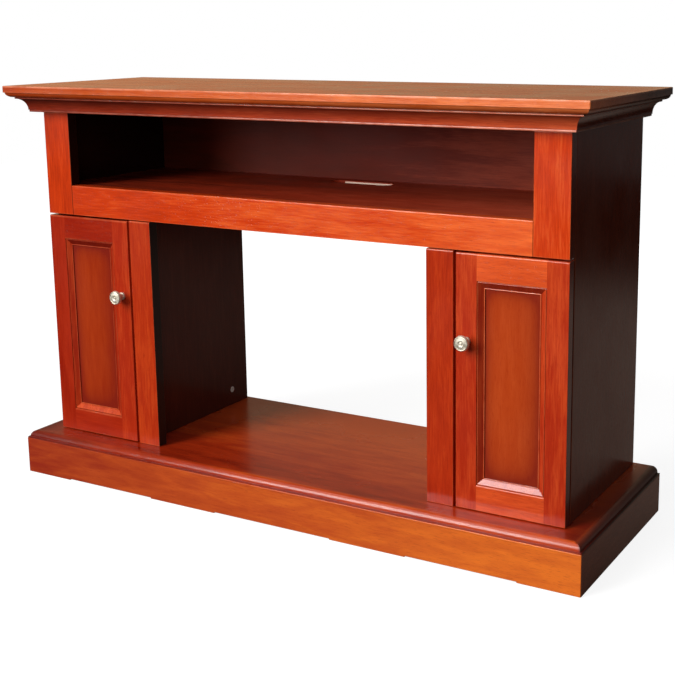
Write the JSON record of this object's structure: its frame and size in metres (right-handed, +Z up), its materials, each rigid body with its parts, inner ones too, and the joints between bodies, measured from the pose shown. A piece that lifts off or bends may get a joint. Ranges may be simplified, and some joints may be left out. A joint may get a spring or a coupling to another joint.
{
  "type": "fireplace tv stand",
  "caption": "Cherry media cabinet with a moulded top, an open shelf bay, a through opening for a fireplace insert and a hinged cupboard door at each side.",
  "frame": {"origin": "on the floor, under the middle of the top slab's width and depth", "axes": "+X along the width to the right as seen from the front, +Y from front to back, +Z up"},
  "size_m": [1.2, 0.406, 0.7845],
  "materials": {
    "cherry_frame": "semi-gloss lacquer over red cherry",
    "cherry_door": "semi-gloss lacquer over red cherry",
    "cherry_panel": "semi-gloss lacquer, toned darker at the edges",
    "cherry_top": "semi-gloss lacquer",
    "cherry_case": "semi-gloss lacquer over cherry veneer",
    "cherry_base": "gloss lacquer over red cherry",
    "cherry_inside": "satin lacquer over cherry veneer",
    "satin_nickel": "satin nickel plate",
    "zinc": "zinc plate"
  },
  "bodies": {
    "cabinet": {"top_slab": "cherry_top", "crown_front": "cherry_frame", "crown_left": "cherry_case", "crown_right": "cherry_case", "header_rail": "cherry_frame", "shelf_rail": "cherry_frame", "media_shelf": "cherry_inside", "media_back_panel": "cherry_inside", "base_board": "cherry_base", "skirt_front": "cherry_base", "skirt_left": "cherry_case", "skirt_right": "cherry_case", "skirt_rear": "cherry_case", "upper_stile_left": "cherry_frame", "inner_stile_left": "cherry_frame", "side_panel_left": "cherry_case", "partition_left": "cherry_case", "cupboard_back_left": "cherry_inside", "cupboard_shelf_left": "cherry_inside", "cam_lock_left": "zinc", "shelf_pin_left_outer_front": "zinc", "shelf_pin_left_outer_rear": "zinc", "shelf_pin_left_inner_front": "zinc", "shelf_pin_left_inner_rear": "zinc", "hinge_arm_left_lower": "zinc", "hinge_arm_left_upper": "zinc", "upper_stile_right": "cherry_frame", "inner_stile_right": "cherry_frame", "side_panel_right": "cherry_case", "partition_right": "cherry_case", "cupboard_back_right": "cherry_inside", "cupboard_shelf_right": "cherry_inside", "cam_lock_right": "zinc", "shelf_pin_right_outer_front": "zinc", "shelf_pin_right_outer_rear": "zinc", "shelf_pin_right_inner_front": "zinc", "shelf_pin_right_inner_rear": "zinc", "hinge_arm_right_lower": "zinc", "hinge_arm_right_upper": "zinc"},
    "door_left": {"door_left_hinge_stile": "cherry_door", "door_left_knob_stile": "cherry_door", "door_left_top_rail": "cherry_door", "door_left_bottom_rail": "cherry_door", "door_left_moulding": "cherry_door", "door_left_panel": "cherry_panel", "knob_left": "satin_nickel", "knob_screw_left": "zinc", "hinge_cup_left_lower": "zinc", "hinge_cup_left_upper": "zinc"},
    "door_right": {"door_right_hinge_stile": "cherry_door", "door_right_knob_stile": "cherry_door", "door_right_top_rail": "cherry_door", "door_right_bottom_rail": "cherry_door", "door_right_moulding": "cherry_door", "door_right_panel": "cherry_panel", "knob_right": "satin_nickel", "knob_screw_right": "zinc", "hinge_cup_right_lower": "zinc", "hinge_cup_right_upper": "zinc"}
  },
  "joints": [
    {"name": "left_door_hinge", "type": "hinge", "parent": "cabinet", "child": "door_left", "pos_m": [-0.543, -0.1365, 0.307], "axis": [0, 0, -1], "range_deg": [0, 100]},
    {"name": "right_door_hinge", "type": "hinge", "parent": "cabinet", "child": "door_right", "pos_m": [0.543, -0.1365, 0.307], "axis": [0, 0, 1], "range_deg": [0, 100]}
  ]
}
